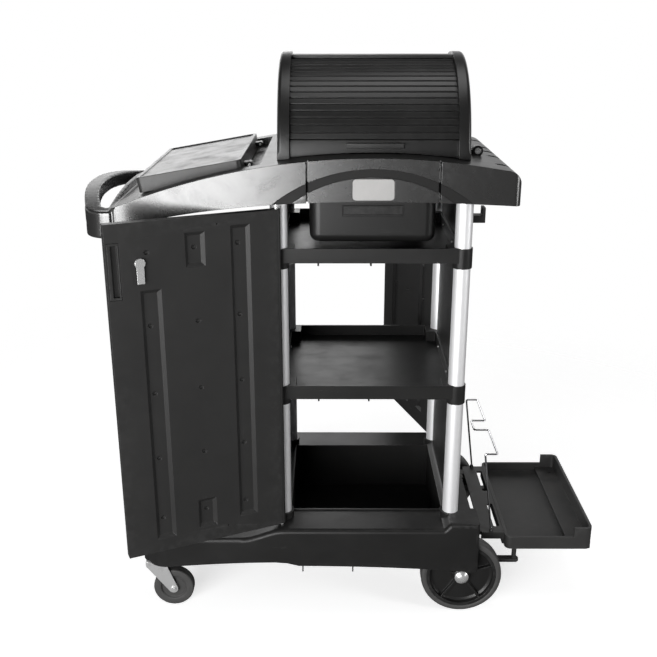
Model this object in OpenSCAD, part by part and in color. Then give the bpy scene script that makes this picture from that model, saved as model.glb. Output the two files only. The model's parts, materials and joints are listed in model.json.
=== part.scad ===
// Housekeeping cart: four-post frame, shelves, locking doors, roll-top hood, waste lid and folding platform.
// X runs along the cart from the push handle to the folding platform, Y from front to back, Z up.

/* [Frame] */
// Distance between post centres along the cart
post_span_x = 418; // [360:1:520]
// Distance between post centres across the cart
post_span_y = 408; // [340:1:500]
// Outside diameter of a post
post_d = 39; // [30:1:45]
// Wall of a post tube
post_wall = 2; // [1.5:0.5:4]
// Overall width of the base and the top deck
body_w = 560; // [500:1:680]
// Wall of the moulded parts
wall = 5; // [4:0.5:7]

/* [Heights] */
// Height of the door ledge on the base
ledge_z = 246; // [225:1:260]
// Top of the middle shelf
mid_shelf_z = 605; // [500:1:680]
// Top of the upper shelf
top_shelf_z = 940; // [860:1:950]
// Underside of the deck at its middle
deck_low_z = 1057; // [1040:1:1120]
// Height of the deck's side wall at its middle
deck_h = 94; // [80:1:120]
// Height of a shelf's rim
shelf_h = 34; // [28:1:50]

/* [Deck] */
// Reach of the deck past the left post centres
deck_left = 363; // [330:1:420]
// Reach of the deck past the right post centres
deck_right = 110; // [90:1:140]
// Reach of the push handle past the deck
handle_reach = 100; // [85:1:130]
// Thickness of the handle bar
grip_d = 34; // [28:1:38]

/* [Hood] */
// Radius of the hood's end caps
hood_r = 220; // [190:1:235]
// Width of an end cap along the cart
hood_rim_w = 27; // [20:1:34]
// Pitch of the tambour slats along the arc
slat_pitch = 16; // [12:1:22]

/* [Waste lid] */
// Length of the lid down its slope
lid_l = 236; // [190:1:250]
// Width of the lid
lid_w = 456; // [400:1:470]
// Slope of the lid
lid_tilt = 10; // [6:1:12]
// Height of the lid's skirt
lid_h = 34; // [26:1:40]

/* [Doors] */
// Thickness of a door
door_t = 20; // [16:1:24]
// Opening of the front door from closed, in degrees
front_open = 156; // [90:1:160]
// Opening of the rear door from closed, in degrees
rear_open = 71.5; // [60:0.5:120]
// Radius of the hinge barrel along a door
barrel_r = 9; // [8:0.5:10]

/* [Wheels] */
// Diameter of a big wheel
wheel_d = 203; // [180:1:215]
// Width of a big wheel
wheel_w = 45; // [35:1:50]
// Diameter of the wheel axle
axle_d = 13; // [10:0.5:16]
// Diameter of a caster wheel
caster_d = 102; // [85:1:104]
// Distance of the caster's wheel behind its swivel
caster_trail = 44; // [35:1:50]
// Width of a caster wheel
caster_w = 28; // [22:1:32]

/* [Folding platform] */
// Length of the platform's tray
tray_l = 220; // [180:1:240]
// Width of the platform's tray
tray_w = 410; // [340:1:440]
// Diameter of the wire frame
wire_d = 5; // [4:0.5:6]
// Height of the wire frame
wire_h = 226; // [180:1:240]

/* [Storage bin] */
// Length of the bin along the cart
bin_l = 289; // [240:1:300]
// Width of the bin across the cart
bin_w = 380; // [300:1:390]

/* [Hidden] */
$fn = 64;
run = 0.05; // radial clearance of a running fit
gap = 0.4; // clearance between seated parts

px = post_span_x / 2;
py = post_span_y / 2;
hy = body_w / 2;
post_r = post_d / 2;
collar_r = post_r + 3;
socket_r = post_r + 6.5;
post_z0 = ledge_z - 29;
socket_top = ledge_z + 16;
shelf_face = py + post_r;

// base
base_x0 = -px - 346;
base_x1 = px + 66;
well_x = px - collar_r + 4;
well_y = py - 26;
well_z = 121;
skirt_t = 6;
left_top = ledge_z - 26;
arch_y = hy - 72;
axle_x = px + 29;
axle_z = wheel_d / 2;
arch_z = wheel_d + 8;
wheel_y0 = arch_y + 8;
wheel_y1 = wheel_y0 + wheel_w;
end_x = base_x1 - 14;

// deck
deck_x0 = -px - deck_left;
deck_x1 = px + deck_right;
crown_z = deck_low_z + deck_h;
deck_arc = 1537;
fascia_x = 140;
seam = 5;
post_z1 = deck_low_z + 28;
handle_x = deck_x0 - handle_reach;
function deck_top(x) = crown_z - deck_arc + sqrt(deck_arc * deck_arc - x * x);
function deck_low(x) = x < 0 ? deck_low_z - 57 * pow(-x / 560, 2.4) : deck_low_z - 9 * pow(x / 314, 2);

// hood
hood_z = deck_top(px) + 1;
hood_x0 = -px;
hood_x1 = px + 6;
track_out = hood_r - 8;
shell_t = 4;
slat_t = 5;
curtain_out = track_out - shell_t - 1.5;
curtain_in = curtain_out - slat_t;
shell_from = 80;
bar_arc = 11.5;
curtain_end = 92;
slat_step = slat_pitch / curtain_out * 180 / PI;
slats = floor((curtain_end - bar_arc) / slat_step);

// lid
lid_x1 = -px - 79;
lid_z1 = crown_z - 10;
lid_pin_x = lid_x1 + 15;
lid_clear = 42;
lid_pin_z = lid_z1 - 19;
lid_pin_r = 3;
lid_knuckle_r = 6.5;
lid_seat = 3;
lid_x0 = lid_x1 - lid_l * cos(lid_tilt);
function lid_floor(x) = lid_z1 - lid_h - lid_seat - (lid_x1 - x) * tan(lid_tilt);

// doors
hinge_x = px + 3;
hinge_y = shelf_face + 22.5;
door_w = post_span_x - 38;
door_z0 = ledge_z + 5;
door_z1 = deck_low_z - 21;
door_pin_r = 4;
lock_u = door_w - 70;
lock_z = door_z1 - 87;
cam_gap = 1;
cam_t = 5;

// storage bin
bin_z0 = top_shelf_z + 5;
bin_x = 4;
bin_z1 = deck_top(bin_x + bin_l / 2) - 1;

// casters
caster_x = base_x0 + 18;
caster_y = hy - 58;
caster_top = 137;
caster_gap = 1.5;

// platform
fold_x = base_x1 + 10;
fold_z = 170;
tray_x0 = fold_x + 70;
tray_x1 = tray_x0 + tray_l;
strip_x0 = fold_x + 10;
strip_w = tray_w - 50;
tray_z0 = 147;
rim_z = 181;
foot_x = strip_x0 + 27.5;
foot_y = strip_w / 2 - 13;
strip_z = 180;
wire_r = wire_d / 2;
foot_z = strip_z + 4;
wire_lean = 26.5;
stay_x = tray_x0 + 30;
stay_y = arch_y - 24;
ear_y = strip_w / 2 - 45;

// whole-object centring: the box's bottom centre is the origin
front_y = -hinge_y - door_w * sin(180 - front_open) - door_t / 2 * cos(180 - front_open);
rear_y = hinge_y + door_w * sin(rear_open) + door_t / 2 * cos(rear_open);
shift_x = -(handle_x + tray_x1) / 2;
shift_y = -(front_y + rear_y) / 2;

// ---------- helpers ----------
function arc(cx, cy, r, from, to, steps) =
    [for (i = [0:steps]) let (a = from + (to - from) * i / steps) [cx + r * cos(a), cy + r * sin(a)]];

module placed() translate([shift_x, shift_y, 0]) children();
module plan(z0, z1) translate([0, 0, z0]) linear_extrude(z1 - z0) children();
module side(y0, y1) translate([0, y1, 0]) rotate([90, 0, 0]) linear_extrude(y1 - y0) children();
module cross(x0, x1) translate([x0, 0, 0]) rotate([90, 0, 90]) linear_extrude(x1 - x0) children();
module box(x0, x1, y0, y1, z0, z1) translate([x0, y0, z0]) cube([x1 - x0, y1 - y0, z1 - z0]);
module rod_y(x, z, y0, y1, r) translate([x, y0, z]) rotate([-90, 0, 0]) cylinder(r = r, h = y1 - y0);
module rod_x(y, z, x0, x1, r) translate([x0, y, z]) rotate([0, 90, 0]) cylinder(r = r, h = x1 - x0);
module both_sides() {
    children();
    mirror([0, 1, 0]) children();
}
module at_hinges() {
    translate([-hinge_x, -hinge_y, 0]) children();
    translate([hinge_x, hinge_y, 0]) children();
}
module at_posts() {
    for (sx = [-1, 1], sy = [-1, 1]) translate([sx * px, sy * py, 0]) children();
}
// rounded rectangle
module rrect(x0, x1, y0, y1, r)
    polygon(concat(arc(x1 - r, y1 - r, r, 0, 90, 8), arc(x0 + r, y1 - r, r, 90, 180, 8),
        arc(x0 + r, y0 + r, r, 180, 270, 8), arc(x1 - r, y0 + r, r, 270, 360, 8)));

// ---------- base ----------
base_r = 62;
function base_bottom(x) = x < -px ? 137 + 18 * sin(90 * (x - base_x0) / (-px - base_x0))
    : x < -px + 40 ? 155 - 10 * (x + px) / 40 : 145 - 18 * pow((x + px - 40) / (base_x1 + px - 40), 2);
// skirt top: low at the handle end, then an S-curve up to the ledge
rise_x0 = -px - 105;
rise_x1 = -px + 5;
function ease(t) = (1 - cos(180 * min(max(t, 0), 1))) / 2;
function base_top(x) = left_top + (ledge_z - left_top) * ease((x - rise_x0) / (rise_x1 - rise_x0));
// raised end past the right posts; it stops short of the rear door's swing
end_rise_x0 = px - 24;
end_rise_x1 = px - 4;
end_rise_y = py + socket_r + 2;
seat_y = py - socket_r - 2;
module base_profile(drop)
    polygon(concat(
        [for (i = [0:28]) let (x = base_x0 + (base_x1 - base_x0) * i / 28) [x, base_bottom(x)]],
        [for (i = [0:56]) let (x = base_x1 - (base_x1 - base_x0) * i / 56) [x, base_top(x) - drop]]));
module base_plan(inset)
    polygon(concat(arc(base_x1 - 8, hy - 8, 8 - min(inset, 6), 0, 90, 4),
        arc(base_x0 + base_r, hy - base_r, base_r - inset, 90, 180, 12),
        arc(base_x0 + base_r, base_r - hy, base_r - inset, 180, 270, 12),
        arc(base_x1 - 8, 8 - hy, 8 - min(inset, 6), 270, 360, 4)));

module base_end_rise() intersection() {
    plan(ledge_z - wall + 1, socket_top + 1) base_plan(0);
    side(-hy, end_rise_y) polygon(concat([[base_x1, ledge_z - wall + 1], [base_x1, socket_top]],
        [for (i = [0:8]) let (x = end_rise_x1 + (end_rise_x0 - end_rise_x1) * i / 8)
            [x, ledge_z + (socket_top - ledge_z) * ease(1 - i / 8)]], [[end_rise_x0, ledge_z - wall + 1]]));
}
module base_platform() placed() color([0.2, 0.19, 0.2]) difference() {
    union() {
        // outer skin: skirt and top surface
        difference() {
            intersection() {
                plan(100, 300) base_plan(0);
                side(-hy, hy) base_profile(0);
            }
            intersection() {
                plan(90, 300) base_plan(skirt_t);
                translate([0, 0, -30]) side(-hy, hy) base_profile(-30 + wall);
            }
            // open end between the skirts, for the wheels and the platform
            box(end_x, base_x1 + 1, -hy + skirt_t, hy - skirt_t, 100, ledge_z - 16);
            box(end_x, base_x1 + 1, 8 - arch_y, arch_y - 8, 100, 300);
        }
        difference() {
            base_end_rise();
            box(end_x, base_x1 + 1, 8 - arch_y, arch_y - 8, 100, 300);
            // seat for the foot of the end panel
            box(panel_x - gap, panel_x + panel_t + gap, -seat_y, seat_y, ledge_z, 300);
        }
        // lower compartment tub and the low lip around it
        box(-well_x - wall, well_x + wall, -well_y - wall, well_y + wall, well_z - wall, ledge_z + 3);
        // post sockets
        at_posts() translate([0, 0, arch_z]) cylinder(r = socket_r, h = socket_top - arch_z);
        // wheel housings
        both_sides() {
            box(px - 82, end_x, arch_y - wall, arch_y, 150, base_top(px) - 1);
            box(px - 82, end_x, arch_y - wall, hy - 2, arch_z, arch_z + wall);
            box(px - 87, px - 82, arch_y - wall, hy - 2, 142, arch_z + wall);
            // axle hangers
            box(axle_x - 24, end_x, arch_y - 18, arch_y, axle_z, arch_z + 2);
            rod_y(axle_x, axle_z, arch_y - 18, arch_y, 18);
            box(axle_x - 18, axle_x + 18, arch_y - 18, arch_y, axle_z, arch_z);
            // caster pads
            translate([caster_x, caster_y, caster_top]) cylinder(r = 27, h = left_top - 3 - caster_top);
            // platform hinge ears
            box(end_x - 6, fold_x, ear_y - 20, ear_y - 1, fold_z - 9, fold_z + 9);
            rod_y(fold_x, fold_z, ear_y - 20, ear_y - 1, 9);
        }
        // right end wall
        box(end_x - wall, end_x, -arch_y, arch_y, 128, base_top(end_x) - 1);
        // underside ribs at the handle end
        for (x = [-px - 250, -px - 150]) box(x, x + 4, -hy + 3, hy - 3, 160, left_top - 2);
        for (x = [-px + 49, px - 245]) translate([x, 3 - hy, 128]) cylinder(r = 1.6, h = 24);
    }
    box(-well_x, well_x, -well_y, well_y, well_z, 300);
    at_posts() translate([0, 0, post_z0]) cylinder(r = post_r + gap, h = 120);
    at_hinges() translate([0, 0, ledge_z - 30]) cylinder(r = door_pin_r + run, h = 60);
    both_sides() {
        rod_y(axle_x, axle_z, arch_y - 30, arch_y + 2, axle_d / 2 + run);
        rod_y(fold_x, fold_z, ear_y - 30, ear_y + 2, 4 + run);
        translate([caster_x, caster_y, 100]) cylinder(r = 6 + run, h = 76);
    }
    // shallow tread recess at the handle end
    plan(left_top - 2.5, left_top + 60)
        rrect(base_x0 + 26, -px - 118, -hy + 26, hy - 26, 40);
}

// ---------- posts ----------
module post(sx, sy) placed() color([0.9, 0.9, 0.9]) translate([sx * px, sy * py, post_z0]) difference() {
    cylinder(r = post_r, h = post_z1 - post_z0);
    translate([0, 0, -1]) cylinder(r = post_r - post_wall, h = post_z1 - post_z0 + 2);
}
module post_front_left() post(-1, -1);
module post_front_right() post(1, -1);
module post_rear_left() post(-1, 1);
module post_rear_right() post(1, 1);

// ---------- shelves ----------
shelf_x = px - 4;
corner_x = px - collar_r - 12;
corner_y = py - collar_r - 14;
module shelf(top_z) placed() color([0.19, 0.18, 0.19]) difference() {
    union() {
        difference() {
            plan(top_z - shelf_h, top_z) rrect(-shelf_x, shelf_x, -shelf_face, shelf_face, 6);
            plan(top_z - shelf_h + wall + 1, top_z + 1) rrect(-corner_x, corner_x,
                -shelf_face + wall, shelf_face - wall, 4);
            plan(top_z - shelf_h + wall + 1, top_z + 1) rrect(-shelf_x + wall, shelf_x - wall,
                -corner_y, corner_y, 4);
        }
        at_posts() translate([0, 0, top_z - shelf_h - 14]) cylinder(r = collar_r, h = shelf_h + 13);
        // stiffening ribs under the tray
        for (x = [-120, 0, 120]) box(x - 2, x + 2, 6 - shelf_face, shelf_face - 6,
            top_z - shelf_h - 8, top_z - shelf_h + 1);
    }
    at_posts() translate([0, 0, top_z - shelf_h - 20]) cylinder(r = post_r + gap, h = shelf_h + 40);
    for (sx = [0, 1], y = [-screw_y, screw_y]) mirror([sx, 0, 0])
        rod_x(y, top_z - screw_drop, shelf_x - 20, shelf_x + 1, screw_r + run);
}
module middle_shelf() shelf(mid_shelf_z);
module top_shelf() shelf(top_shelf_z);

// ---------- end panels ----------
panel_x = shelf_x + gap;
panel_t = 5;
panel_y = py - collar_r - 1;
screw_y = 90;
screw_drop = 16;
screw_r = 2.5;
module end_panel() color([0.33, 0.33, 0.33]) difference() {
    union() {
        box(panel_x, panel_x + panel_t, -panel_y, panel_y, socket_top + 2, deck_low_z - 12);
        box(panel_x, panel_x + panel_t, gap - seat_y, seat_y - gap, ledge_z + gap, socket_top + 3);
        for (y = [-panel_y + 14, panel_y - 26]) box(panel_x + panel_t - 1, panel_x + panel_t + 4,
            y, y + 12, socket_top + 12, deck_low_z - 24);
    }
    for (z = [mid_shelf_z, top_shelf_z], y = [-screw_y, screw_y])
        rod_x(y, z - screw_drop, panel_x - 1, panel_x + panel_t + 1, screw_r + run);
}
module end_panel_right() placed() end_panel();
module end_panel_left() placed() mirror([1, 0, 0]) end_panel();

// screws that hold the end panels to the shelves
module panel_screws() placed() color("silver")
    for (sx = [0, 1]) mirror([sx, 0, 0])
        for (z = [mid_shelf_z, top_shelf_z], y = [-screw_y, screw_y]) {
            rod_x(y, z - screw_drop, shelf_x - 8, panel_x + panel_t + 2, screw_r);
            rod_x(y, z - screw_drop, panel_x + panel_t + gap, panel_x + panel_t + 3, 5);
        }

// ---------- top deck ----------
end_r = 34;
corner_a = asin((deck_x1 - end_r) / deck_arc);
corner_cx = deck_x1 - end_r;
corner_cz = deck_top(corner_cx) - end_r * cos(corner_a);
module deck_profile(top_inset, low_inset)
    polygon(concat(
        [for (i = [0:24]) let (x = deck_x0 + (deck_x1 - deck_x0) * i / 24) [x, deck_low(x) + low_inset]],
        arc(corner_cx, corner_cz, end_r - top_inset, 0, 90 - corner_a, 8),
        [for (i = [1:24]) let (x = corner_cx - (corner_cx - deck_x0) * i / 24) [x, deck_top(x) - top_inset]]));
open_x0 = lid_x0 + 22;
open_x1 = lid_x1 - 22;
open_y = lid_w / 2 - 26;
// plan of the handle loop: a bowed crossbar between rounded corners, inset for its finger opening
grip_r = 62;
grip_bow = 35;
corner_reach = handle_reach - grip_bow;
bow_half = hy - grip_r;
bow_arc = (bow_half * bow_half + grip_bow * grip_bow) / 2 / grip_bow;
module handle_plan(inset)
    polygon(concat([[deck_x0 + 4, inset - hy], [deck_x0 + 4, hy - inset]],
        arc(deck_x0 - corner_reach + grip_r, bow_half, grip_r - inset, 90, 180, 10),
        [for (i = [11:-1:-11]) let (y = bow_half * i / 12)
            [handle_x + bow_arc + inset - sqrt(bow_arc * bow_arc - y * y), y]],
        arc(deck_x0 - corner_reach + grip_r, -bow_half, grip_r - inset, 180, 270, 10)));
module handle() {
    low = deck_low(deck_x0);
    lift = 28;
    bend = (hy * hy + lift * lift) / 2 / lift;
    top = deck_top(deck_x0) - 8;
    intersection() {
        difference() {
            plan(low - 40, top + 60) handle_plan(0);
            plan(low - 60, top + 80) intersection() {
                handle_plan(grip_d);
                translate([deck_x0 - 200, -hy]) square([192, body_w]);
            }
        }
        // arched crossbar between lower side rails
        union() {
            cross(deck_x0 - 110, deck_x0 + 3) polygon(concat(
                [for (i = [-14:14]) let (y = hy * i / 14)
                    [y, top + lift - bend + sqrt(bend * bend - y * y)]],
                [for (i = [14:-1:-14]) let (y = hy * i / 14)
                    [y, top + lift - grip_d - bend + sqrt(bend * bend - y * y)]]));
            both_sides() box(deck_x0 - 110, deck_x0 + 3, hy - 44, hy + 1, low - 22, top + 3);
            box(deck_x0 - 9, deck_x0 + 3, -hy, hy, low, top + 3);
        }
    }
}
module deck_cavity() difference() {
    intersection() {
        plan(900, 1300) rrect(deck_x0 + wall, deck_x1 - wall, wall - hy, hy - wall, 12);
        side(-hy, hy) deck_profile(wall, -60);
    }
    // skin below the lid recess
    side(-lid_w / 2 - 14, lid_w / 2 + 14) polygon([
        [lid_x0 - 14, lid_floor(lid_x0 - 14) - wall],
        [lid_x1 + lid_clear + 6, lid_floor(lid_x1 + lid_clear + 6) - wall],
        [lid_x1 + lid_clear + 6, 1300], [lid_x0 - 14, 1300]]);
    // walls behind the fascias
    both_sides() box(-fascia_x - seam - 8, fascia_x + seam + 8, hy - 24, hy, 900, 1300);
}
module top_deck() placed() color([0.22, 0.21, 0.22]) difference() {
    union() {
        difference() {
            intersection() {
                plan(900, 1300) rrect(deck_x0, deck_x1, -hy, hy, 16);
                side(-hy, hy) deck_profile(0, 0);
            }
            deck_cavity();
        }
        handle();
        // waste opening collar
        difference() {
            plan(lid_floor(open_x0) - 30, lid_floor(open_x1) + 20)
                rrect(open_x0 - 4, open_x1 + 4, -open_y - 4, open_y + 4, 24);
            side(-hy, hy) polygon([[lid_x0 - 60, lid_floor(lid_x0 - 60) - 1], [lid_x1 + 60,
                lid_floor(lid_x1 + 60) - 1], [lid_x1 + 60, 1400], [lid_x0 - 60, 1400]]);
        }
        // post sockets
        at_posts() translate([0, 0, deck_low_z - 1])
            cylinder(r = socket_r - 2, h = deck_top(px) - deck_low_z - wall + 2);
        // bosses for the door pins
        at_hinges() translate([0, 0, deck_low_z - 3])
            cylinder(r = 10, h = deck_top(px) - deck_low_z - wall + 4);
        // lid hinge ears
        both_sides() {
            box(lid_pin_x - 6, lid_pin_x + 6, 176, 192, lid_floor(lid_pin_x) - 2, lid_pin_z);
            rod_y(lid_pin_x, lid_pin_z, 176, 192, lid_knuckle_r);
        }
        // seat that carries the bin's flange
        plan(bin_z1 - 16, bin_z1 - 4) bin_plan(14);
    }
    // fascia pockets
    both_sides() box(-fascia_x - seam, fascia_x + seam, hy - 18, hy + 1, 900, 1300);
    // lid recess and waste opening
    side(-lid_w / 2 - 8, lid_w / 2 + 8) polygon([
        [lid_x0 - 8, lid_floor(lid_x0 - 8)], [lid_x1 + lid_clear, lid_floor(lid_x1 + lid_clear)],
        [lid_x1 + lid_clear, 1300], [lid_x0 - 8, 1300]]);
    plan(900, 1300) rrect(open_x0, open_x1, -open_y, open_y, 20);
    // bin opening and the seat pocket for its flange
    plan(900, 1300) bin_plan(1);
    plan(bin_z1 - 4, 1300) bin_plan(11);
    // posts and door pins
    at_posts() translate([0, 0, 900]) cylinder(r = post_r + gap, h = post_z1 + gap - 900);
    // tool notches at the platform end
    for (y = [-200, -75, 0, 75, 200]) translate([0, 0, crown_z - 45]) plan(0, 60)
        rrect(deck_x1 - 48, deck_x1 + 30, y - 9, y + 9, 8);
    both_sides() {
        rod_y(lid_pin_x, lid_pin_z, 170, 200, lid_pin_r + run);
        // arch relief on the side walls
        side(hy - 1.5, hy + 1) difference() {
            translate([0, deck_low_z - 280]) circle(351);
            translate([0, deck_low_z - 248]) circle(302);
        }
    }
    at_hinges() translate([0, 0, deck_low_z - 60]) cylinder(r = door_pin_r + run, h = 70);
}

module fascia() color([0.2, 0.2, 0.2]) difference() {
    intersection() {
        side(-hy, -hy + 18 - gap) deck_profile(0, 0);
        box(-fascia_x, fascia_x, -hy, -hy + 18 - gap, 900, 1300);
    }
    // hollow back
    box(-fascia_x + 8, fascia_x - 8, -hy + 6, -hy + 20, deck_low_z + 8, deck_top(fascia_x) - 7);
    // arch relief
    side(-hy - 1, -hy + 1.5) difference() {
        translate([0, deck_low_z - 280]) circle(351);
        translate([0, deck_low_z - 248]) circle(302);
    }
    // badge recess
    side(-hy - 1, -hy + 1.6) rrect(-45 - gap, 45 + gap, deck_low_z + 4 - gap, deck_low_z + 50 + gap, 8);
}
module fascia_front() placed() fascia();
module fascia_rear() placed() mirror([0, 1, 0]) fascia();
module badge_plate() placed() color([0.7, 0.7, 0.7])
    side(-hy - 1, -hy + 1.5) rrect(-45, 45, deck_low_z + 4, deck_low_z + 50, 8);

// ---------- storage bin ----------
module bin_plan(grow)
    rrect(bin_x - bin_l / 2 - grow, bin_x + bin_l / 2 + grow, -bin_w / 2 - grow, bin_w / 2 + grow, 25 + grow);
module storage_bin() placed() color([0.17, 0.17, 0.17]) difference() {
    union() {
        plan(bin_z0, bin_z1) bin_plan(0);
        plan(bin_z1 - 4 + gap, bin_z1) bin_plan(10);
        side(-bin_w / 2 - 2, -bin_w / 2 + 2) rrect(bin_x - 70, bin_x + 70, bin_z0 + 62, bin_z0 + 88, 3);
    }
    plan(bin_z0 + 4, bin_z1 + 1) bin_plan(-4);
    side(-bin_w / 2 - 3, -bin_w / 2 - 0.8) rrect(bin_x - 66, bin_x + 66, bin_z0 + 66, bin_z0 + 84, 2);
}

// ---------- hood ----------
// half disc that stands on the deck
module half_disc(r) intersection() {
    translate([0, hood_z]) circle(r);
    translate([-r, deck_top(px) - 1]) square([2 * r, r + 5]);
}
module hood_end(side_x) color([0.2, 0.2, 0.2]) difference() {
    cross(side_x, side_x + hood_rim_w) half_disc(hood_r);
    cross(side_x + wall, side_x + hood_rim_w + 1) difference() {
        half_disc(track_out);
        half_disc(curtain_in - 2);
    }
    cross(side_x + wall, side_x + hood_rim_w + 1) half_disc(curtain_in - 8);
    above_deck(0.2);
}
// everything up to a small clearance over the deck's curved top
module above_deck(clear) side(-hy, hy) deck_profile(-clear, -60);
module hood_end_left() placed() hood_end(hood_x0);
module hood_end_right() placed() translate([hood_x0 + hood_x1, 0, 0]) mirror([1, 0, 0]) hood_end(hood_x0);
// arc band between two radii and two angles, angles from the front edge over the top
module band(r_in, r_out, from, to, steps)
    polygon(concat(arc(0, hood_z, r_in, 180 - from, 180 - to, steps),
        arc(0, hood_z, r_out, 180 - to, 180 - from, steps)));
module hood_rear_shell() placed() color([0.18, 0.18, 0.18]) difference() {
    union() {
        cross(hood_x0 + wall + gap, hood_x1 - wall - gap)
            band(track_out - shell_t, track_out - gap, shell_from, 178, 32);
        cross(hood_x0 + hood_rim_w + 1, hood_x1 - hood_rim_w - 1)
            band(track_out - 1, track_out + 4, shell_from, shell_from + 5, 4);
    }
    above_deck(0.2);
}
curtain_x0 = hood_x0 + wall + 6;
curtain_x1 = hood_x1 - wall - 6;
module tambour_curtain() placed() color([0.16, 0.16, 0.16]) cross(curtain_x0, curtain_x1)
    polygon(concat(
        arc(0, hood_z, curtain_in + 1, 180 - bar_arc, 180 - bar_arc - slats * slat_step, slats * 2),
        [for (i = [slats - 1:-1:0]) let (a = 180 - bar_arc - i * slat_step) for (p = [
            [curtain_in + 2.2, slat_step], [curtain_out - 0.8, slat_step - 0.25],
            [curtain_out, slat_step - 0.5], [curtain_out, 0.9], [curtain_out - 0.8, 0.6],
            [curtain_in + 2.2, 0.4]])
            [p[0] * cos(a - p[1]), hood_z + p[0] * sin(a - p[1])]]));
module tambour_bottom_bar() placed() color([0.2, 0.2, 0.2]) difference() {
    cross(curtain_x0, curtain_x1) band(curtain_in, curtain_out, 0.5, bar_arc - 0.05, 6);
    above_deck(1.5);
}
pull_a = 8.4;
module tambour_handle() placed() color([0.14, 0.14, 0.14]) {
    y = -curtain_out * cos(pull_a);
    z = hood_z + curtain_out * sin(pull_a);
    box(-58, 68, y - 12, y - 4, z - 5.5, z + 5.5);
    for (x = [-50, 46]) difference() {
        box(x, x + 14, y - 5, y + 2, z - 4, z + 4);
        cross(curtain_x0, curtain_x1) translate([0, hood_z]) circle(curtain_out + 0.05);
    }
}
lock_x = px + 39;
lock_y = -96;
module hood_lock_bracket() placed() color([0.12, 0.12, 0.12]) difference() {
    union() {
        box(hood_x1 + gap, lock_x + 8, lock_y, lock_y + 16, deck_top(lock_x) - 2, hood_z + 6);
        rod_y(lock_x, hood_z + 3, lock_y - 3, lock_y + 16, 12.5);
    }
    rod_y(lock_x, hood_z + 3, lock_y - 6, lock_y + 20, 7 + run);
    above_deck(0.2);
}
module hood_lock_plug() placed() color("silver") difference() {
    union() {
        rod_y(lock_x, hood_z + 3, lock_y - 4, lock_y + 20, 7);
        box(lock_x - 24, lock_x + 5, lock_y + 17, lock_y + 20, hood_z - 2, hood_z + 8);
    }
    box(lock_x - 5, lock_x + 5, lock_y - 5, lock_y - 1, hood_z + 2.2, hood_z + 3.8);
}

// ---------- waste lid ----------
module waste_lid() placed() color([0.3, 0.3, 0.3]) {
    translate([lid_x1, 0, lid_z1]) rotate([0, -lid_tilt, 0]) difference() {
        plan(-lid_h, 0) rrect(-lid_l, 0, -lid_w / 2, lid_w / 2, 12);
        plan(-lid_h - 1, -8) rrect(-lid_l + wall, -wall, -lid_w / 2 + wall, lid_w / 2 - wall, 8);
        plan(-3, 1) rrect(-lid_l + 9, -9, -lid_w / 2 + 9, lid_w / 2 - 9, 6);
    }
    both_sides() difference() {
        union() {
            box(lid_x1 - 3, lid_pin_x, 148, 175, lid_pin_z - 5, lid_pin_z + 5);
            rod_y(lid_pin_x, lid_pin_z, 148, 175, lid_knuckle_r);
        }
        rod_y(lid_pin_x, lid_pin_z, 140, 180, lid_pin_r + run);
    }
}
module lid_hinge_pins() placed() color("silver") both_sides()
    rod_y(lid_pin_x, lid_pin_z, 146, 192, lid_pin_r);

// ---------- doors ----------
// a door is drawn along +X from its hinge axis, its inner face on +Y
channels = [[267, 312, 33, 637], [65, 110, 47, 760], [167, 211, 39, 114], [167, 211, 676, 753]];
dimple_u = [92, 190, 294];
dimple_z = [85, 238, 397, 555, 719];
module door_panel() difference() {
    union() {
        plan(door_z0, door_z1) rrect(2, door_w, -door_t / 2, door_t / 2, 3);
        translate([0, 0, door_z0]) cylinder(r = barrel_r, h = door_z1 - door_z0);
    }
    for (c = channels) side(door_t / 2 - 7, door_t / 2 + 1)
        rrect(c[0], c[1], door_z0 + c[2], door_z0 + c[3], 2);
    for (u = dimple_u, z = dimple_z) rod_y(u, door_z0 + z, 0, door_t / 2 + 1, 4);
    for (z = [30, 766]) rod_y(139, door_z0 + z, door_t / 2 - 5, door_t / 2 + 1, 1.6);
    // lock bore and finger pull pocket
    rod_y(lock_u, lock_z, -door_t, door_t, 10 + run);
    box(door_w - 30, door_w - 4, door_t / 2 - 11, door_t / 2 + 1, door_z0 + 622, door_z0 + 745);
    // hinge bore
    translate([0, 0, door_z0 - 1]) cylinder(r = door_pin_r + run, h = 42);
    translate([0, 0, door_z1 - 40]) cylinder(r = door_pin_r + run, h = 42);
}
module door_pull() difference() {
    box(door_w - 30 + gap, door_w - 4 - gap, door_t / 2 - 11 + gap, door_t / 2, door_z0 + 622 + gap,
        door_z0 + 745 - gap);
    box(door_w - 26, door_w - 12, door_t / 2 - 8, door_t / 2 + 1, door_z0 + 628, door_z0 + 739);
}
module door_lock_body() difference() {
    union() {
        rod_y(lock_u, lock_z, -door_t / 2 - 1, door_t / 2 + cam_gap + cam_t - 1, 9.9);
        rod_y(lock_u, lock_z, -door_t / 2 - 3, -door_t / 2 - gap, 13);
    }
    rod_y(lock_u, lock_z, -door_t, door_t + 8, 5 + run);
}
module door_cam() {
    cam_y = door_t / 2 + cam_gap + cam_t;
    rod_y(lock_u, lock_z, -door_t / 2 - 4, cam_y, 5);
    rod_y(lock_u, lock_z, cam_y - 0.6, cam_y + 2, 11);
    box(lock_u - 8, lock_u + 8, cam_y - 0.6, cam_y + 2, lock_z - 44, lock_z);
}
module door_pins() {
    translate([0, 0, ledge_z - 10]) cylinder(r = door_pin_r, h = 50);
    translate([0, 0, door_z1 - 36]) cylinder(r = door_pin_r, h = deck_low_z - door_z1 + 42);
}
module front_door() placed() translate([-hinge_x, -hinge_y, 0]) rotate([0, 0, -front_open]) children();
module rear_door() placed() translate([hinge_x, hinge_y, 0]) rotate([0, 0, 180 - rear_open]) children();
module door_front_panel() color([0.2, 0.19, 0.2]) front_door() door_panel();
module door_rear_panel() color([0.2, 0.19, 0.2]) rear_door() door_panel();
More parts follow.
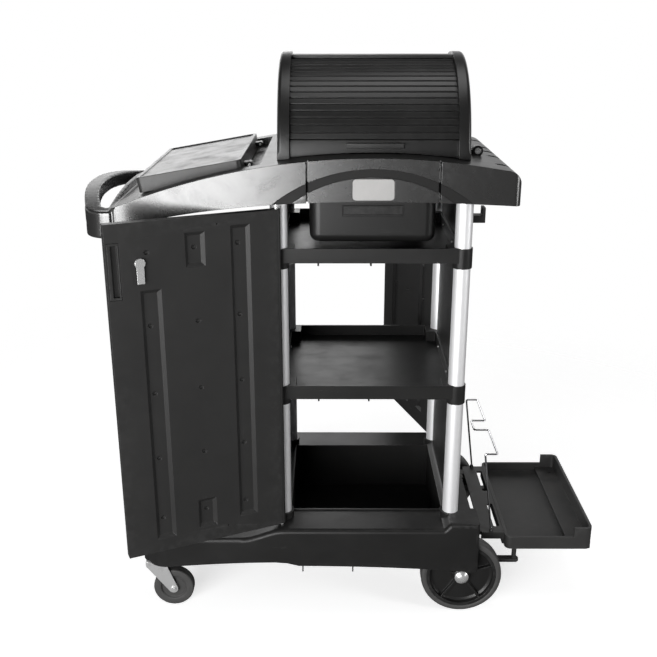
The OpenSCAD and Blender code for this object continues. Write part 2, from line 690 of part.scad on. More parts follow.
module door_front_pull() color([0.1, 0.1, 0.1]) front_door() door_pull();
module door_rear_pull() color([0.1, 0.1, 0.1]) rear_door() door_pull();
module door_front_lock_body() color("gray") front_door() door_lock_body();
module door_rear_lock_body() color("gray") rear_door() door_lock_body();
module door_front_cam() color("silver") front_door() door_cam();
module door_rear_cam() color("silver") rear_door() door_cam();
module door_front_pins() color("silver") front_door() door_pins();
module door_rear_pins() color("silver") rear_door() door_pins();

// ---------- folding platform ----------
module platform_tray() placed() color([0.25, 0.25, 0.25]) difference() {
    union() {
        difference() {
            plan(tray_z0, rim_z + 26) rrect(tray_x0, tray_x1, -tray_w / 2, tray_w / 2, 16);
            plan(tray_z0 + 10, rim_z + 30) rrect(tray_x0 + 7, tray_x1 - 7, -tray_w / 2 + 7, tray_w / 2 - 7, 9);
            // rim is low except at the far end
            plan(rim_z, rim_z + 30) rrect(tray_x0 - 20, tray_x1 - 46, -tray_w, tray_w, 14);
        }
        // raised ledge along the far end
        box(tray_x1 - 62, tray_x1 - 3, -tray_w / 2 + 3, tray_w / 2 - 3, tray_z0, tray_z0 + 22);
        // hinge strip
        plan(strip_z - 6, strip_z) rrect(strip_x0, tray_x0 + 8, -strip_w / 2, strip_w / 2, 8);
        box(tray_x0 - 4, tray_x0 + 8, -strip_w / 2, strip_w / 2, tray_z0, strip_z - 1);
        both_sides() {
            box(strip_x0 + 2, tray_x0 + 4, strip_w / 2 - 6, strip_w / 2, fold_z - 9, strip_z - 2);
            box(fold_x, strip_x0 + 12, ear_y + 1, ear_y + 26, fold_z - 9, strip_z - 1);
            rod_y(fold_x, fold_z, ear_y + 1, ear_y + 26, 9);
            // lugs for the wire's feet
            box(foot_x - 5, foot_x + 5, foot_y + 4, foot_y + 10, strip_z - 3, foot_z);
            rod_y(foot_x, foot_z, foot_y + 4, foot_y + 10, 5);
        }
    }
    both_sides() {
        rod_y(fold_x, fold_z, ear_y - 5, ear_y + 40, 4 + run);
        plan(strip_z - 20, strip_z + 1) rrect(strip_x0 + 38, strip_x0 + 53, 35, 150, 4);
        translate([tray_x1 - 24, tray_w / 2 - 40, tray_z0 - 1]) cylinder(r = 4, h = 40);
        rod_y(foot_x, foot_z, foot_y + 2, foot_y + 12, wire_r + run);
    }
}
module platform_pins() placed() color("silver") both_sides()
    rod_y(fold_x, fold_z, ear_y - 22, ear_y + 28, 4);
module platform_stays() placed() color([0.1, 0.1, 0.1]) both_sides() {
    box(end_x + gap, stay_x, stay_y - 10, stay_y + 10, 100, 109);
    box(end_x + gap, end_x + 6, stay_y - 10, stay_y + 10, 100, 150);
    translate([stay_x, stay_y, 0]) plan(100, 109) circle(10);
    translate([stay_x - 2, stay_y, 108]) cylinder(r = 6, h = tray_z0 - 108.3);
}
// wire path: feet, leaning legs and a stepped loop level at the top, with a small ball at each bend
module wire_run(a, b) {
    d = b - a;
    len = norm(d);
    translate(a) rotate([0, acos(d[2] / len), atan2(d[1], d[0])]) cylinder(r = wire_r, h = len, $fn = 24);
}
wire_top = strip_z + wire_h - 8;
wire_x = foot_x - wire_lean;
wire_half = [[foot_x, foot_y, foot_z], [wire_x, foot_y + 2, wire_top], [wire_x + 31, foot_y + 2, wire_top],
    [wire_x + 31, 29, wire_top], [wire_x - 7, 29, wire_top]];
module wire_frame() placed() color("silver") {
    both_sides() {
        for (i = [0:3]) wire_run(wire_half[i], wire_half[i + 1]);
        for (p = wire_half) translate(p) sphere(r = wire_r + 0.15, $fn = 24);
        rod_y(foot_x, foot_z, foot_y, foot_y + 9.5, wire_r);
    }
    wire_run([wire_x - 7, -29, wire_top], [wire_x - 7, 29, wire_top]);
}

// ---------- big wheels ----------
rim_r = wheel_d / 2 - 14;
module wheel_axle() placed() color("silver") rod_y(axle_x, axle_z, -wheel_y1 - 7, wheel_y1 + 7, axle_d / 2);
module hub_caps() placed() color("silver") both_sides() translate([axle_x, wheel_y1 + 1, axle_z])
    rotate([-90, 0, 0]) difference() {
        rotate_extrude() polygon([[0, 0], [17.5, 0], [17.5, 2.5], [14, 5], [10, 8], [5, 9.5], [0, 10]]);
        translate([0, 0, -1]) cylinder(r = axle_d / 2, h = 7);
    }
module wheel(sy) placed() color([0.13, 0.13, 0.13]) translate([axle_x, sy * wheel_y0, axle_z])
    rotate([sy > 0 ? -90 : 90, 0, 0]) {
        rotate_extrude() polygon([[axle_d / 2 + run, 0], [20, 0], [20, 18], [rim_r - 8, 18], [rim_r - 8, 3],
            [rim_r, 3], [rim_r, wheel_w - 3], [rim_r - 8, wheel_w - 3], [rim_r - 8, wheel_w - 14],
            [rim_r - 14, wheel_w - 18], [24, wheel_w - 18], [20, wheel_w - 2], [16, wheel_w],
            [axle_d / 2 + run, wheel_w]]);
        for (i = [0:4]) rotate([0, 0, 72 * i + 18]) {
            translate([18, -3, wheel_w - 20]) cube([rim_r - 24, 6, 13]);
        }
    }
module tyre(sy) placed() color([0.24, 0.24, 0.24]) translate([axle_x, sy * wheel_y0, axle_z])
    rotate([sy > 0 ? -90 : 90, 0, 0]) rotate_extrude($fn = 96) polygon(concat([[rim_r + 0.01, 1], [rim_r + 7, 1]],
        arc(wheel_d / 2 - 6, 7, 6, -60, 0, 4), arc(wheel_d / 2 - 6, wheel_w - 7, 6, 0, 60, 4),
        [[rim_r + 7, wheel_w - 1], [rim_r + 0.01, wheel_w - 1]]));
module wheel_front() wheel(-1);
module wheel_rear() wheel(1);
module tyre_front() tyre(-1);
module tyre_rear() tyre(1);

// ---------- casters ----------
module caster_plate(sy) placed() color("silver") translate([caster_x, sy * caster_y, 0]) {
    translate([0, 0, caster_top - 5]) cylinder(r = 22, h = 4.6);
    translate([0, 0, caster_top - 22]) cylinder(r = 6, h = 60);
    translate([0, 0, caster_top - 22]) cylinder(r = 9, h = 4);
}
fork_top = caster_top - 5 - caster_gap;
leg_in = caster_w / 2 + 2;
leg_t = 3;
module caster_fork(sy) placed() color([0.8, 0.8, 0.8]) translate([caster_x, sy * caster_y, 0]) difference() {
    union() {
        translate([0, 0, fork_top - 8]) cylinder(r = 24, h = 8);
        for (y = [-leg_in - leg_t, leg_in])
            side(y, y + leg_t) polygon(concat([[-22, fork_top], [-22, fork_top - 14]],
                arc(caster_trail, caster_d / 2, 12, 215, 375, 10), [[26, fork_top]]));
    }
    translate([0, 0, fork_top - 20]) cylinder(r = 6 + run, h = 40);
    rod_y(caster_trail, caster_d / 2, -60, 60, 4 + run);
}
module caster_axle(sy) placed() color("silver") translate([caster_x + caster_trail, sy * caster_y, caster_d / 2]) {
    rod_y(0, 0, -leg_in - leg_t - 5, leg_in + leg_t + 5, 4);
    for (y = [-leg_in - leg_t - 5, leg_in + leg_t + gap]) rod_y(0, 0, y, y + 4.6, 7, $fn = 6);
}
module caster_wheel(sy) placed() color([0.3, 0.3, 0.3])
    translate([caster_x + caster_trail, sy * caster_y - caster_w / 2, caster_d / 2]) rotate([-90, 0, 0])
    rotate_extrude($fn = 96) polygon(concat([[4 + run, -1], [12, -1], [14, 5], [30, 5], [33, 1], [40, 0]],
        arc(caster_d / 2 - 5, 5, 5, -70, 0, 4), arc(caster_d / 2 - 5, caster_w - 5, 5, 0, 70, 4),
        [[40, caster_w], [33, caster_w - 1], [30, caster_w - 5], [14, caster_w - 5], [12, caster_w + 1],
        [4 + run, caster_w + 1]]));
module caster_front_plate() caster_plate(-1);
module caster_front_fork() caster_fork(-1);
module caster_front_axle() caster_axle(-1);
module caster_front_wheel() caster_wheel(-1);
module caster_rear_plate() caster_plate(1);
module caster_rear_fork() caster_fork(1);
module caster_rear_axle() caster_axle(1);
module caster_rear_wheel() caster_wheel(1);

// ---------- tool hook ----------
module tool_hook() placed() color([0.1, 0.1, 0.1]) {
    hook_z = top_shelf_z + 13;
    x0 = panel_x + panel_t + gap;
    box(x0, x0 + 4, -24, 24, hook_z - 12, hook_z + 42);
    box(x0, x0 + 78, -16, 16, hook_z, hook_z + 18);
    box(x0 + 70, x0 + 78, -16, 16, hook_z, hook_z + 38);
}

base_platform();
post_front_left();
post_front_right();
post_rear_left();
post_rear_right();
middle_shelf();
top_shelf();
end_panel_left();
end_panel_right();
top_deck();
fascia_front();
fascia_rear();
badge_plate();
storage_bin();
hood_end_left();
hood_end_right();
hood_rear_shell();
hood_lock_bracket();
hood_lock_plug();
tambour_curtain();
tambour_bottom_bar();
tambour_handle();
waste_lid();
lid_hinge_pins();
door_front_panel();
door_front_pull();
door_front_lock_body();
door_front_cam();
door_front_pins();
door_rear_panel();
door_rear_pull();
door_rear_lock_body();
door_rear_cam();
door_rear_pins();
platform_tray();
platform_pins();
platform_stays();
wire_frame();
wheel_axle();
hub_caps();
wheel_front();
tyre_front();
wheel_rear();
tyre_rear();
caster_front_plate();
caster_front_fork();
caster_front_axle();
caster_front_wheel();
caster_rear_plate();
caster_rear_fork();
caster_rear_axle();
caster_rear_wheel();
tool_hook();
panel_screws();
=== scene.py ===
import json
import math

import bpy
from mathutils import Matrix, Vector


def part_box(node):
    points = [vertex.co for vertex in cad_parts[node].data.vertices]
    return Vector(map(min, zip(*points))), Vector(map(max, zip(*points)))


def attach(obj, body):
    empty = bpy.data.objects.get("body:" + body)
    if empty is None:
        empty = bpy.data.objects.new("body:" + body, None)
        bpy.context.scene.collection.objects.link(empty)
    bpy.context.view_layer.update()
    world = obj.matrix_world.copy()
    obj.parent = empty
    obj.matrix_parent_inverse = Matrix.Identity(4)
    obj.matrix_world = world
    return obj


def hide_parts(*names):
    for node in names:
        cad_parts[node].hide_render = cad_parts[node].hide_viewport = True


# Looks of a housekeeping cart: moulded panels with soft edges, blow-moulded doors, a ribbed roll-top hood,
# bent wire, tyres and casters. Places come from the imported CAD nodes; sizes are in metres.

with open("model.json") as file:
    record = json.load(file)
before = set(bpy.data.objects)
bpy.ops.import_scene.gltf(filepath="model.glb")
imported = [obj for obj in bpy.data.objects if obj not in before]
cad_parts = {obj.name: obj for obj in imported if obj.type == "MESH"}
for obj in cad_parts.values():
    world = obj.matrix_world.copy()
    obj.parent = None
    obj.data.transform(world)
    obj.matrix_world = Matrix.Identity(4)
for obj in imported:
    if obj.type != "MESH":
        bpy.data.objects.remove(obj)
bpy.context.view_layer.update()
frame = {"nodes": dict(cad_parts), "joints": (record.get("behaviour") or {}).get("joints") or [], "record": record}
bpy.ops.object.select_all(action="DESELECT")

MM = 0.001
NODES = frame["nodes"]
JOINTS = {joint["name"]: joint for joint in frame["joints"]}
BODY_OF = {node: body for body, nodes in frame["record"]["behaviour"]["bodies"].items() for node in nodes}
SLOT_OF = {part["node"]: part["material_slot"] for part in frame["record"]["subparts"]}


# ---------- shader maths ----------
class Signal:
    """One output of a shader node. Arithmetic on it adds Math nodes."""

    def __init__(self, finish, socket):
        self.finish = finish
        self.socket = socket

    def maths(self, operation, first, second):
        return self.finish.add("ShaderNodeMath", {"operation": operation}, {0: first, 1: second})

    def __add__(self, other):
        return self.maths("ADD", self, other)

    def __sub__(self, other):
        return self.maths("SUBTRACT", self, other)

    def __rsub__(self, other):
        return self.maths("SUBTRACT", other, self)

    def __mul__(self, other):
        return self.maths("MULTIPLY", self, other)

    __radd__ = __add__
    __rmul__ = __mul__


class Nodes:
    """A node tree that grows by one call a node."""

    def __init__(self, tree):
        self.tree = tree
        self.tree.nodes.clear()

    def add(self, kind, settings=None, inputs=None, output=0):
        node = self.tree.nodes.new(kind)
        for key, value in (settings or {}).items():
            setattr(node, key, value)
        for key, value in (inputs or {}).items():
            self.join(node.inputs[key], value)
        return Signal(self, node.outputs[output])

    def join(self, socket, value):
        if isinstance(value, Signal):
            self.tree.links.new(value.socket, socket)
        else:
            socket.default_value = value

    def between(self, value, low, high):
        """0 below low, 1 above high, smooth in between."""
        return self.add("ShaderNodeMapRange", {"interpolation_type": "SMOOTHSTEP"}, {
            "Value": value, "From Min": low, "From Max": high})


class Finish(Nodes):
    """A material in the making: one Principled shader and the nodes that vary it."""

    def __init__(self, name):
        self.material = bpy.data.materials.new(name)
        self.material.use_nodes = True
        super().__init__(self.material.node_tree)
        self.shader = self.tree.nodes.new("ShaderNodeBsdfPrincipled")
        self.output = self.tree.nodes.new("ShaderNodeOutputMaterial")
        self.tree.links.new(self.shader.outputs[0], self.output.inputs["Surface"])
        self.place = self.add("ShaderNodeTexCoord", output="Object")

    def surface(self, **sockets):
        for key, value in sockets.items():
            self.join(self.shader.inputs[key.replace("_", " ")], value)

    def stretched(self, scale):
        return self.add("ShaderNodeMapping", None, {"Vector": self.place, "Scale": scale})

    def noise(self, size, detail=3.0, rough=0.55, place=None, twist=0.0):
        """Noise from 0 to 1 whose blotches are about size across."""
        return self.add("ShaderNodeTexNoise", None, {
            "Vector": place or self.place, "Scale": 1 / size, "Detail": detail,
            "Roughness": rough, "Distortion": twist})

    def cells(self, size, place=None):
        """Distance to the nearest point of a scatter with points about size apart."""
        return self.add("ShaderNodeTexVoronoi", {"feature": "F1"}, {
            "Vector": place or self.place, "Scale": 1 / size})

    def from_line(self, centre):
        """Distance from the line along Y through centre."""
        flat = self.add("ShaderNodeVectorMath", {"operation": "MULTIPLY"}, {0: self.place, 1: (1, 0, 1)})
        spot = (centre.x, 0, centre.z)
        return self.add("ShaderNodeVectorMath", {"operation": "DISTANCE"}, {0: flat, 1: spot}, 1)

    def blend(self, share, first, second):
        """Colour that goes from first to second as share goes from 0 to 1."""
        return self.add("ShaderNodeMix", {"data_type": "RGBA"}, {0: share, 6: first, 7: second}, output=2)

    def edges(self, low, high):
        """1 on convex edges, 0 on flats."""
        point = self.add("ShaderNodeNewGeometry", output="Pointiness")
        return self.between(point, low, high)

    def bump(self, height, depth, strength=1.0, under=None):
        """Normal with height times depth of relief, over another relief if one is given."""
        inputs = {"Height": height, "Distance": depth, "Strength": strength}
        if under is not None:
            inputs["Normal"] = under
        return self.add("ShaderNodeBump", None, inputs)


def grey(level, warm=0.0):
    return (level * (1 + warm), level, level * (1 - warm), 1)


def moulded(name, level, rough, grain=1.3 * MM, relief=0.05 * MM, cloud=0.10, wear=0.5, dust=0.35, shine=0.35,
            band=None):
    """Moulded plastic: pebbled grain, cloudy gloss, hairline scratches, pale worn edges and a little dust.

    band is the arch that stays dull between two arcs of a glossy part: outer and inner centre and radius."""
    finish = Finish(name)
    cloudy = finish.noise(0.11, 4, 0.6, twist=0.6)
    fine = finish.noise(2.2 * MM, 2)
    scratch = finish.noise(3 * MM, 3, 0.7, finish.stretched((0.05, 1.0, 0.35)))
    scratches = finish.between(scratch, 0.66, 0.74)
    rubbed = finish.edges(0.515, 0.585) * finish.between(finish.noise(0.016, 4), 0.40, 0.66)
    patches = finish.between(finish.noise(0.19, 5, 0.65), 0.50, 0.80)
    facing = finish.add("ShaderNodeNewGeometry", output="Normal")
    up = finish.add("ShaderNodeSeparateXYZ", None, {0: facing}, 2)
    settled = finish.between(up, 0.55, 1.0) * finish.between(finish.noise(0.05, 6, 0.7), 0.42, 0.78)
    colour = finish.blend(cloudy, grey(level * 0.80, 0.01), grey(level * 1.25, 0.02))
    colour = finish.blend(fine * 0.16, colour, grey(level * 1.9))
    colour = finish.blend(scratches * 0.18 * wear, colour, grey(level * 4 + 0.03))
    colour = finish.blend(rubbed * 0.55 * wear, colour, grey(level * 2.8 + 0.035))
    colour = finish.blend(settled * dust * 0.22, colour, grey(0.23, 0.05))
    dull = (cloudy - 0.5) * cloud * 2 + patches * cloud + scratches * 0.10 + settled * dust * 0.25
    pebbles = finish.cells(grain)
    relief_normal = finish.bump(pebbles, relief, 0.9)
    relief_normal = finish.bump(finish.noise(0.035, 2), 0.25 * MM, 0.35, relief_normal)
    relief_normal = finish.bump(scratches, 0.02 * MM, 0.6, relief_normal)
    finish.surface(Base_Color=colour, Roughness=dull + rough, Normal=relief_normal, IOR=1.49,
                   Specular_IOR_Level=shine)
    if band:
        outer, outer_radius, inner, inner_radius = band
        inside = 1 - finish.between(finish.from_line(outer), outer_radius - 0.4 * MM, outer_radius + 0.4 * MM)
        outside = finish.between(finish.from_line(inner), inner_radius - 0.4 * MM, inner_radius + 0.4 * MM)
        flat = 1 - finish.between(up, 0.30, 0.75) * 0.75
        gloss = (1 - inside * outside) * flat * (1 - finish.between(cloudy, 0.45, 0.80) * 0.35)
        finish.surface(Coat_Weight=gloss, Coat_Roughness=0.24, Coat_IOR=1.85)
    return finish.material


def metal(name, colour, rough, brush=(1.0, 1.0, 1.0), dull=0.10, relief=0.01 * MM, tarnish=0.35,
          bare=1.0):
    """Bare or plated metal: brushed along one axis, with cloudy tarnish and fine nicks.

    bare is the share of it that shines as metal."""
    finish = Finish(name)
    lines = finish.noise(0.9 * MM, 3, 0.6, finish.stretched(brush))
    cloudy = finish.noise(0.030, 4, 0.6, twist=0.4)
    nicks = finish.between(finish.noise(4 * MM, 4, 0.8), 0.68, 0.76)
    dark = tuple(c * 0.62 for c in colour[:3]) + (1,)
    shade = finish.blend(finish.between(cloudy, 0.45, 0.75) * tarnish, colour, dark)
    shade = finish.blend(nicks * 0.30, shade, dark)
    roughness = (lines - 0.5) * dull + (cloudy - 0.5) * dull + nicks * 0.15 + rough
    normal = finish.bump(lines, relief, 0.7)
    normal = finish.bump(nicks, 0.03 * MM, 0.5, normal)
    finish.surface(Base_Color=shade, Metallic=bare, Roughness=roughness, Normal=normal)
    return finish.material


def rubber(name, level, rough, relief=0.08 * MM):
    """Moulded rubber: dull, dusty, with small pits and scuffs."""
    finish = Finish(name)
    blotch = finish.noise(0.03, 5, 0.65)
    pits = finish.cells(1.6 * MM)
    scuffs = finish.between(finish.noise(0.011, 5, 0.7, twist=1.2), 0.56, 0.74)
    colour = finish.blend(blotch, grey(level * 0.72, 0.01), grey(level * 1.30, 0.02))
    colour = finish.blend(scuffs * 0.30, colour, grey(level * 1.9 + 0.02, 0.03))
    normal = finish.bump(pits, relief, 0.7)
    normal = finish.bump(scuffs, 0.05 * MM, 0.6, normal)
    finish.surface(Base_Color=colour, Roughness=blotch * 0.16 + rough, Normal=normal, IOR=1.5)
    return finish.material


FASCIA_LOW, FASCIA_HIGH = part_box("fascia_front")
ARCH_CENTRE = Vector(((FASCIA_LOW.x + FASCIA_HIGH.x) / 2, 0, FASCIA_LOW.z + 2 * MM))
ARCH = (ARCH_CENTRE - Vector((0, 0, 280 * MM)), 351 * MM, ARCH_CENTRE - Vector((0, 0, 248 * MM)), 302 * MM)
MATERIALS = {
    "deck_gloss": moulded("deck_plastic", 0.012, 0.50, cloud=0.06, shine=0.18, band=ARCH),
    "moulded_black": moulded("structural_foam", 0.012, 0.38, cloud=0.08, shine=0.27),
    "door_plastic": moulded("blow_moulded_door", 0.017, 0.46, grain=1.1 * MM, relief=0.07 * MM,
                            cloud=0.05, dust=0.1),
    "hood_plastic": moulded("hood_plastic", 0.009, 0.34, grain=1.0 * MM, relief=0.03 * MM,
                            cloud=0.05, dust=0.2, shine=0.5),
    "lid_plastic": moulded("lid_plastic", 0.028, 0.36, grain=1.0 * MM, relief=0.04 * MM,
                           cloud=0.09, dust=0.55),
    "bin_plastic": moulded("bin_plastic", 0.008, 0.36, relief=0.03 * MM, cloud=0.06),
    "panel_plastic": moulded("panel_plastic", 0.011, 0.40, cloud=0.07),
    "tray_plastic": moulded("tray_plastic", 0.028, 0.46, grain=0.9 * MM, relief=0.08 * MM,
                            cloud=0.07, dust=0.8, shine=0.5),
    "wheel_plastic": moulded("wheel_plastic", 0.013, 0.36, cloud=0.08, wear=0.8),
    "badge": moulded("badge_plate", 0.36, 0.30, grain=0.5 * MM, relief=0.01 * MM, cloud=0.05,
                     wear=0.0, dust=0.1),
    "wheel_tyre": rubber("tyre_rubber", 0.050, 0.54),
    "caster_rubber": rubber("caster_rubber", 0.040, 0.50),
    "post_aluminium": metal("anodised_post", (0.90, 0.90, 0.91, 1), 0.46, (1.0, 1.0, 0.02), 0.08,
                            0.006 * MM, 0.08, bare=0.5),
    "bright_zinc": metal("bright_zinc", (0.80, 0.80, 0.80, 1), 0.28, dull=0.16, tarnish=0.4, bare=0.7),
    "chrome_wire": metal("chrome_wire", (0.78, 0.78, 0.80, 1), 0.16, dull=0.12, tarnish=0.5),
    "plated_steel": metal("plated_steel", (0.74, 0.74, 0.74, 1), 0.34, dull=0.16, tarnish=0.5, bare=0.7),
}
LOOK_OF = {node: "deck_gloss" for node in ("top_deck", "fascia_front", "fascia_rear")}


# ---------- modelling ----------
POSTS = [sum(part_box(node), Vector()) / 2 for node in ("post_front_left", "post_rear_right")]
FOLD_LIMIT = 30 * MM * MM
FOLD_SHARE = 0.0002
TURNED_STEPS = 96


def mode(name):
    bpy.ops.object.mode_set(mode=name)


def only(piece):
    """Makes piece the one selected and active object."""
    bpy.ops.object.select_all(action="DESELECT")
    piece.select_set(True)
    bpy.context.view_layer.objects.active = piece


def pick(piece, kind, test):
    """Edit mode with only the corners, edges or faces selected whose middle passes the test."""
    mode("OBJECT")
    mesh = piece.data
    bpy.context.tool_settings.mesh_select_mode = (kind == "VERT", kind == "EDGE", kind == "FACE")
    for group in (mesh.vertices, mesh.edges, mesh.polygons):
        group.foreach_set("select", [False] * len(group))
    corners = mesh.vertices
    if kind == "VERT":
        for corner in corners:
            corner.select = bool(test(corner.co))
    elif kind == "EDGE":
        for edge in mesh.edges:
            ends = [corners[i].co for i in edge.vertices]
            edge.select = bool(test(ends[0], ends[1]))
    else:
        for face in mesh.polygons:
            face.select = bool(test(face.center, face.normal))
    mode("EDIT")


def everything():
    bpy.context.tool_settings.mesh_select_mode = (True, False, False)
    mode("EDIT")
    bpy.ops.mesh.select_all(action="SELECT")


def cut(piece, point, normal):
    """Cuts the whole mesh along a plane and keeps both sides."""
    everything()
    bpy.ops.mesh.bisect(plane_co=point, plane_no=normal)


def outward(piece):
    everything()
    bpy.ops.mesh.remove_doubles(threshold=0.01 * MM)
    bpy.ops.mesh.normals_make_consistent(inside=False)
    mode("OBJECT")


def apply(piece, kind, **settings):
    """Adds a modifier with these settings and applies it."""
    only(piece)
    modifier = piece.modifiers.new(kind.lower(), kind)
    for key, value in settings.items():
        setattr(modifier, key, value)
    bpy.ops.object.modifier_apply(modifier=modifier.name)


def folded_area(piece):
    """Area of the triangles that a bevel too wide for its place has turned against their own face."""
    mesh = piece.data
    mesh.calc_loop_triangles()
    area = 0
    for triangle in mesh.loop_triangles:
        first, second, third = (mesh.vertices[i].co for i in triangle.vertices)
        across = (second - first).cross(third - first)
        if across.dot(mesh.polygons[triangle.polygon_index].normal) < 0:
            area += across.length / 2
    return area


def soften(piece, width, segments=2, angle=32):
    """Rounds every edge sharper than angle, by less than width where a full round would fold the surface."""
    sharp = piece.data.copy()
    allowed = folded_area(piece) + FOLD_LIMIT + FOLD_SHARE * sum(face.area for face in sharp.polygons)
    for share in (1.0, 0.8, 0.6, 0.45, 0.3, 0.2, 0.1):
        apply(piece, "BEVEL", width=width * share, segments=segments, limit_method="ANGLE",
              angle_limit=math.radians(angle), use_clamp_overlap=False, miter_outer="MITER_ARC")
        if folded_area(piece) <= allowed:
            return
        piece.data = sharp.copy()


def smooth(piece, angle=35):
    only(piece)
    bpy.ops.object.shade_smooth_by_angle(angle=math.radians(angle))
    apply(piece, "WEIGHTED_NORMAL", mode="FACE_AREA", weight=100, keep_sharp=True)


def finished(piece, body, material, slot, *replaced):
    """Material and the body it moves with; its place stays in its mesh."""
    only(piece)
    bpy.ops.object.transform_apply(location=True, rotation=True, scale=True)
    piece.data.materials.clear()
    piece.data.materials.append(MATERIALS[material])
    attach(piece, body)
    if replaced:
        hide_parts(*replaced)
    return piece


def stands_for(piece, node):
    """Finishes piece as the look of one CAD node."""
    return finished(piece, BODY_OF[node], LOOK_OF.get(node, SLOT_OF[node]), SLOT_OF[node], node)


def copied(node, name, split=True):
    """A copy of a CAD node's mesh, merged, with its flat faces whole again.

    Split faces stay apart at the piece's middle and at the posts, so that none runs round a hole.
    """
    piece = bpy.data.objects.new(name, NODES[node].data.copy())
    bpy.context.scene.collection.objects.link(piece)
    only(piece)
    everything()
    bpy.ops.mesh.remove_doubles(threshold=0.02 * MM)
    middle = sum(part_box(node), Vector()) / 2
    for axis in range(3) if split else ():
        normal = Vector([float(i == axis) for i in range(3)])
        for place in [middle] + POSTS * (axis < 2):
            cut(piece, place, normal)
            bpy.ops.mesh.mark_seam()
    everything()
    bpy.ops.mesh.dissolve_limited(angle_limit=math.radians(0.4), delimit={"SEAM"})
    mode("OBJECT")
    return piece


def softened(node, width, segments=2, angle=32):
    """A CAD node with its edges rounded, as moulding and pressing leave them."""
    piece = copied(node, node + "_body")
    soften(piece, width, segments, angle)
    smooth(piece)
    return stands_for(piece, node)


def cube(name, low, high):
    low, high = Vector(low), Vector(high)
    bpy.ops.mesh.primitive_cube_add(size=1, location=(low + high) / 2, scale=high - low)
    piece = bpy.context.object
    piece.name = name
    bpy.ops.object.transform_apply(location=True, rotation=True, scale=True)
    return piece


def joined(pieces):
    bpy.ops.object.select_all(action="DESELECT")
    for piece in pieces:
        piece.select_set(True)
    bpy.context.view_layer.objects.active = pieces[0]
    bpy.ops.object.join()
    return pieces[0]


def carve(piece, cutter):
    """Takes cutter out of piece and throws cutter away."""
    apply(piece, "BOOLEAN", object=cutter, operation="DIFFERENCE", solver="EXACT")
    bpy.data.objects.remove(cutter)


def turned(name, outline, centre):
    """A turned ring: circles through the outline's (radius, along) points, round an axis along Y."""
    radius, along = outline[0]
    bpy.ops.mesh.primitive_circle_add(vertices=TURNED_STEPS, radius=radius, fill_type="NOTHING")
    piece = bpy.context.object
    piece.name = name
    everything()
    bpy.ops.transform.translate(value=(0, 0, along))
    for next_radius, next_along in outline[1:] + outline[:1]:
        bpy.ops.mesh.extrude_edges_move(TRANSFORM_OT_translate={"value": (0, 0, next_along - along)})
        grow = next_radius / radius
        bpy.ops.transform.resize(value=(grow, grow, 1), center_override=(0, 0, next_along))
        radius, along = next_radius, next_along
    outward(piece)
    piece.rotation_mode = "QUATERNION"
    piece.rotation_quaternion = Vector((0, 0, 1)).rotation_difference(Vector((0, 1, 0)))
    piece.location = centre
    only(piece)
    bpy.ops.object.transform_apply(location=True, rotation=True, scale=True)
    return piece


def bent_rod(name, route, radius, bend):
    """Round rod along a route, with its corners bent to a radius."""
    bpy.ops.mesh.primitive_plane_add(size=radius)
    piece = bpy.context.object
    piece.name = name
    everything()
    bpy.ops.mesh.merge(type="CENTER")
    bpy.ops.transform.translate(value=route[0])
    for start, end in zip(route, route[1:]):
        bpy.ops.mesh.extrude_vertices_move(TRANSFORM_OT_translate={"value": Vector(end) - Vector(start)})
    ends = (Vector(route[0]), Vector(route[-1]))
    pick(piece, "VERT", lambda at: min((at - end).length for end in ends) > MM)
    bpy.ops.mesh.bevel(affect="VERTICES", offset=bend, segments=6)
    mode("OBJECT")
    only(piece)
    bpy.ops.object.convert(target="CURVE")
    piece.data.bevel_depth = radius
    piece.data.bevel_resolution = 4
    piece.data.use_fill_caps = True
    bpy.ops.object.convert(target="MESH")
    outward(piece)
    return piece


# ---------- top deck ----------
HANDLE_REACH = 100 * MM
DECK_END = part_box("top_deck")[0].x + HANDLE_REACH


def top_deck():
    seam = DECK_END + 14 * MM
    deck = copied("top_deck", "top_deck_moulding")
    everything()
    bpy.ops.mesh.bisect(plane_co=(seam, 0, 0), plane_no=(1, 0, 0), clear_inner=True, use_fill=True)
    mode("OBJECT")
    soften(deck, 1.2 * MM)
    smooth(deck)
    stands_for(deck, "top_deck")
    handle = copied("top_deck", "push_handle")
    everything()
    bpy.ops.mesh.bisect(plane_co=(seam + 6 * MM, 0, 0), plane_no=(1, 0, 0), clear_outer=True, use_fill=True)
    mode("OBJECT")
    apply(handle, "REMESH", mode="VOXEL", voxel_size=2.4 * MM)
    apply(handle, "SMOOTH", factor=0.5, iterations=14)
    apply(handle, "DECIMATE", ratio=0.4)
    smooth(handle, 60)
    finished(handle, "cart", "deck_gloss", "moulded_black")


# ---------- hood ends and base ----------
HOOD_Z = JOINTS["hood_roll"]["pos_m"][2]


def hood_end(node, outer):
    """End cap of the hood, with its rim rolled over towards the outer side."""
    low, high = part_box(node)
    face_x = low.x if outer < 0 else high.x
    middle = Vector((0, (low.y + high.y) / 2, HOOD_Z))
    radius = (high.y - low.y) / 2

    def on_rim(at):
        away = Vector((0, at.y - middle.y, at.z - middle.z)).length
        return abs(at.x - face_x) < 0.3 * MM and away > radius - 1 * MM and at.z > low.z + 12 * MM

    cap = copied(node, node + "_cap", split=False)
    pick(cap, "EDGE", lambda a, b: on_rim(a) and on_rim(b))
    bpy.ops.mesh.bevel(offset=9 * MM, segments=6, affect="EDGES", clamp_overlap=False)
    mode("OBJECT")
    soften(cap, 0.8 * MM)
    smooth(cap, 32)
    stands_for(cap, node)


